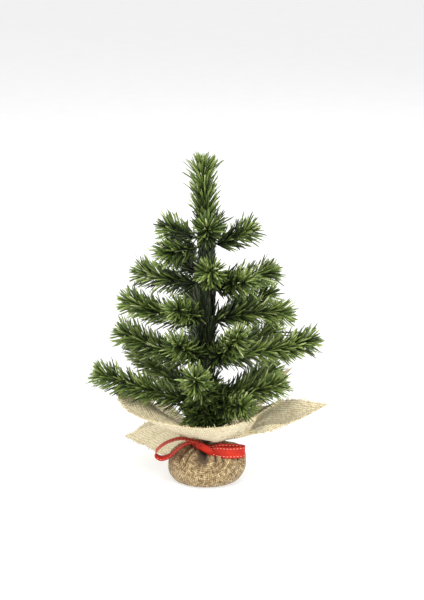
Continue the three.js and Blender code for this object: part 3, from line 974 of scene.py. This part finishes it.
def ribbon_band():
    """The ribbon bunched round the neck, with lengthwise creases."""
    turn = np.linspace(0, 2 * math.pi, 97)[:-1]
    radius = BAND_RADIUS + 0.35 * np.sin(9 * turn) + 0.2 * np.sin(16 * turn)
    height = NECK_HEIGHT + 0.8 * np.sin(2 * turn)
    line = heading_vectors(turn) * radius[:, None] + upright(height)
    out = unit(line * (1, 1, 0))
    half = RIBBON_THICKNESS / 2
    outer = [line + out * (o + half) + UP * h for h, o in BAND_CREASES]
    inner = [line + out * (o - half) + UP * h for h, o in BAND_CREASES[::-1]]
    ring = np.stack(outer + inner, axis=1)
    ring = np.concatenate([ring, ring[:1]])
    faces = grid_faces(len(ring), ring.shape[1], closed=True)
    share = np.linspace(0, 1, len(BAND_CREASES))
    across = np.concatenate([share, share[::-1]])
    along = np.linspace(0, BAND_MAP_LENGTH, len(ring))
    maps = np.stack(np.broadcast_arrays(along[:, None], across[None]), axis=2)
    piece = mesh_object("ribbon_band", ring.reshape(-1, 3), faces, RED_RIBBON,
                        uvs=maps.reshape(-1, 2)[np.array(faces).ravel()])
    merge_close(piece, range(len(piece.data.vertices)))
    return piece


def dress_ribbon():
    """The band, the bow's two loops and its knot, with their stitches."""
    band = ribbon_band()
    rows = 110
    left_line = catmull([(x, BOW_Y, z) for x, z in LEFT_LOOP], rows)
    low = np.exp(-((np.linspace(0, 1, rows) - 0.6) / 0.17) ** 2)
    left_across = np.column_stack([np.full(rows, 0.05), np.ones(rows), 0.2 * low - 0.02])
    left = ribbon_strip("bow_loop_left", left_line, left_across, pinched(rows, LEFT_PINCH))
    rows = 90
    right_line = catmull(RIGHT_LOOP, rows)
    right_across = np.tile((0.03, 0.12, 1.0), (rows, 1))
    right = ribbon_strip("bow_loop_right", right_line, right_across, pinched(rows, RIGHT_PINCH))
    rows = 40
    knot_across = np.tile(unit((0.55, -0.25, 0.8)), (rows, 1))
    knot = ribbon_strip("bow_knot", catmull(KNOT, rows), knot_across, np.full(rows, KNOT_WIDTH), cup=1.2)
    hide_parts("ribbon_bow")
    pieces = [band]
    for strip, faces in ((left, (1, -1)), (right, (1, -1)), (knot, (1,))):
        thread = stitches(strip[0].name.replace("bow_", "") + "_stitches", strip, faces)
        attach(thread, "root")
        pieces.append(strip[0])
    for piece in pieces:
        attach(piece, "root")


def pinched(count, least):
    """The ribbon's width along a loop: gathered at both ends, full in between."""
    t = np.linspace(0, 1, count)
    full = smoothstep(np.minimum(t, 1 - t), 0.02, 0.2)
    return least + (RIBBON_WIDTH - least) * full


# ---- studio

def build_studio():
    """A plain pale floor, a white world and four soft lights."""
    corners = [(x * FLOOR_REACH, y * FLOOR_REACH, 0) for x, y in ((-1, -1), (1, -1), (1, 1), (-1, 1))]
    floor = mesh_object("studio_floor", corners, [(0, 1, 2, 3)], floor_paint(), smooth=False)
    world = bpy.data.worlds.new("studio_world")
    bpy.context.scene.world = world
    world.use_nodes = True
    light_the_world(world.node_tree)
    area_light("key_light", (-0.5, -1.1, 1.7), 0.9, 28)
    area_light("fill_light", (1.2, -1.2, 0.7), 1.2, 16)
    area_light("low_light", (-1.1, -1.3, 0.35), 1.2, 9)
    area_light("rim_light", (0.5, 1.2, 1.3), 0.9, 15)


def light_the_world(tree):
    """White behind the object, and a dimmer light on it, so that the depths of the needles stay dark."""
    background = tree.nodes["Background"]
    background.inputs["Color"].default_value = (1, 1, 1, 1)
    seen = tree.nodes.new("ShaderNodeLightPath")
    strength = tree.nodes.new("ShaderNodeMapRange")
    strength.inputs["To Min"].default_value = AMBIENT
    strength.inputs["To Max"].default_value = BACKDROP
    tree.links.new(seen.outputs["Is Camera Ray"], strength.inputs["Value"])
    tree.links.new(strength.outputs["Result"], background.inputs["Strength"])


def floor_paint():
    paint = Paint("pale_floor", roughness=0.9, specular=0.1)
    grain = paint.noise(paint.place(), 30, detail=2.0)
    paint.colour(paint.ramp(grain, (0.3, (0.45, 0.45, 0.45)), (0.7, (0.48, 0.48, 0.48))))
    paint.shader.inputs["Emission Color"].default_value = (1, 1, 1, 1)
    paint.shader.inputs["Emission Strength"].default_value = FLOOR_GLOW
    return paint.material


def area_light(name, place, size, power):
    light = bpy.data.lights.new(name, "AREA")
    light.size, light.energy = size, power
    lamp = bpy.data.objects.new(name, light)
    lamp.location = place
    lamp.rotation_mode = "QUATERNION"
    lamp.rotation_quaternion = (VIEW_CENTRE - lamp.location).to_track_quat("-Z", "Y")
    bpy.context.scene.collection.objects.link(lamp)


def build_camera():
    data = bpy.data.cameras.new("front_camera")
    data.sensor_width = SENSOR
    data.lens = SENSOR * VIEW_DISTANCE / VIEW_HEIGHT
    data.clip_end = 50
    camera = bpy.data.objects.new("front_camera", data)
    back = Vector((0, -math.cos(VIEW_ELEVATION), math.sin(VIEW_ELEVATION)))
    camera.location = VIEW_CENTRE + back * VIEW_DISTANCE
    camera.rotation_mode = "QUATERNION"
    camera.rotation_quaternion = (-back).to_track_quat("-Z", "Y")
    bpy.context.scene.collection.objects.link(camera)
    bpy.context.scene.camera = camera
    bpy.context.scene.view_settings.view_transform = "Standard"


build_camera()
build_studio()
dress_branches()
dress_leader()
dress_trunk()
dress_trunk_foot()
dress_burlap()
dress_ribbon()
